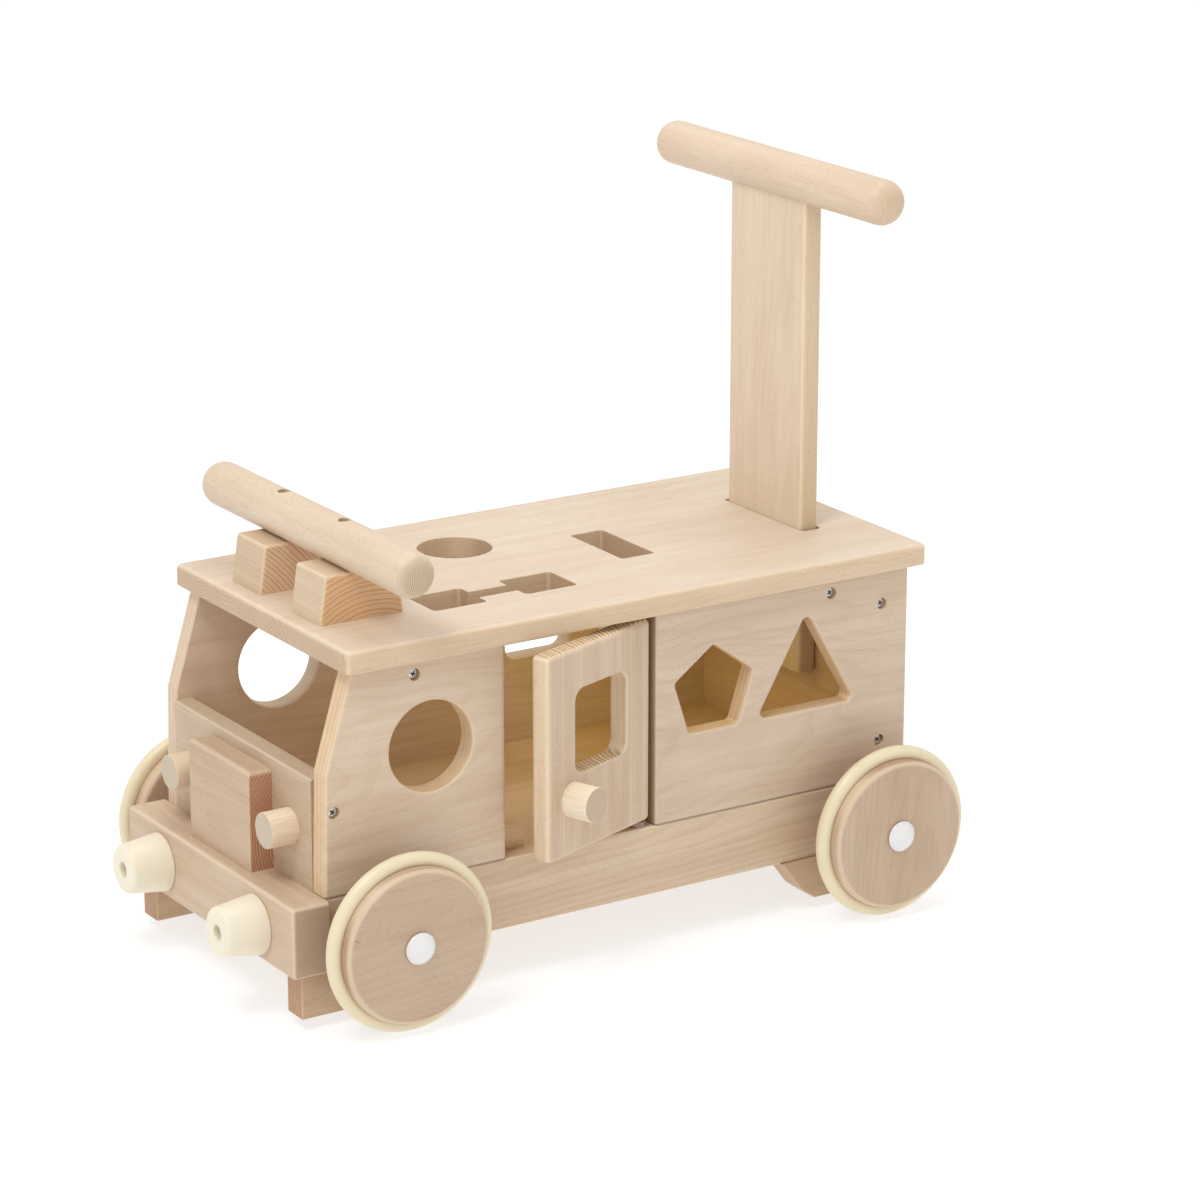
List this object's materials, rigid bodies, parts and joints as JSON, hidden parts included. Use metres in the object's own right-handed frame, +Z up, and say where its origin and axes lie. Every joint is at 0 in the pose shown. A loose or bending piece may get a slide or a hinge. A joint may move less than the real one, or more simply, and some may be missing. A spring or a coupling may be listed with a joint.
{
  "type": "baby walker",
  "caption": "Wooden bus-shaped baby walker to push or sit on, with a rear push handle, a front handlebar, shape-sorter holes, an opening side door and free-running wheels.",
  "frame": {"origin": "on the floor, midway along and across the space the walker takes up", "axes": "+Z up, -Y the way the bus drives (grille end), +X the side with the door"},
  "size_m": [0.3232, 0.524, 0.496],
  "materials": {
    "beech": "satin, fine pale beech grain",
    "plywood": "satin beech-faced plywood, plies showing on cut edges",
    "cream_rubber": "smooth cream",
    "cream_plastic": "smooth cream",
    "white_plastic": "glossy white",
    "steel": "zinc-plated"
  },
  "bodies": {
    "chassis": {"chassis_beam_left": "beech", "chassis_beam_right": "beech", "front_bumper": "beech", "front_cross_rail": "beech", "rear_cross_rail": "beech", "front_batten": "beech", "rear_batten": "beech", "roof_board": "beech", "grille_block": "beech", "front_handle_bar": "beech", "push_post": "beech", "push_grip": "beech", "door_stop_block": "beech", "headlamp_left": "beech", "headlamp_right": "beech", "handle_support_left": "beech", "handle_support_right": "beech", "tip_guard_front_left": "beech", "tip_guard_front_right": "beech", "tip_guard_rear_left": "beech", "tip_guard_rear_right": "beech", "front_panel": "beech", "floor_board": "plywood", "door_side_front": "plywood", "door_side_rear": "plywood", "closed_side": "plywood", "rear_wall": "plywood", "buffer_left": "cream_plastic", "buffer_right": "cream_plastic", "hub_cap_front_left": "white_plastic", "hub_cap_front_right": "white_plastic", "hub_cap_rear_left": "white_plastic", "hub_cap_rear_right": "white_plastic", "door_washer": "white_plastic", "axle_spacers": "white_plastic", "axle_front": "steel", "axle_rear": "steel", "buffer_screws": "steel", "front_handle_screws": "steel", "post_screws": "steel", "side_screws_left": "steel", "side_screws_right": "steel"},
    "door": {"door_panel": "beech", "door_knob": "beech", "door_pins": "steel"},
    "wheel_front_left": {"wheel_disc_front_left": "beech", "tyre_front_left": "cream_rubber"},
    "wheel_front_right": {"wheel_disc_front_right": "beech", "tyre_front_right": "cream_rubber"},
    "wheel_rear_left": {"wheel_disc_rear_left": "beech", "tyre_rear_left": "cream_rubber"},
    "wheel_rear_right": {"wheel_disc_rear_right": "beech", "tyre_rear_right": "cream_rubber"}
  },
  "joints": [
    {"name": "door_hinge", "type": "hinge", "parent": "chassis", "child": "door", "pos_m": [0.0995, 0.029, 0.155], "axis": [0, 0, 1], "range_deg": [-20, 75]},
    {"name": "wheel_front_left_spin", "type": "hinge", "parent": "chassis", "child": "wheel_front_left", "pos_m": [0.142, -0.167, 0.059], "axis": [1, 0, 0], "continuous": true},
    {"name": "wheel_front_right_spin", "type": "hinge", "parent": "chassis", "child": "wheel_front_right", "pos_m": [-0.142, -0.167, 0.059], "axis": [1, 0, 0], "continuous": true},
    {"name": "wheel_rear_left_spin", "type": "hinge", "parent": "chassis", "child": "wheel_rear_left", "pos_m": [0.142, 0.203, 0.059], "axis": [1, 0, 0], "continuous": true},
    {"name": "wheel_rear_right_spin", "type": "hinge", "parent": "chassis", "child": "wheel_rear_right", "pos_m": [-0.142, 0.203, 0.059], "axis": [1, 0, 0], "continuous": true}
  ]
}
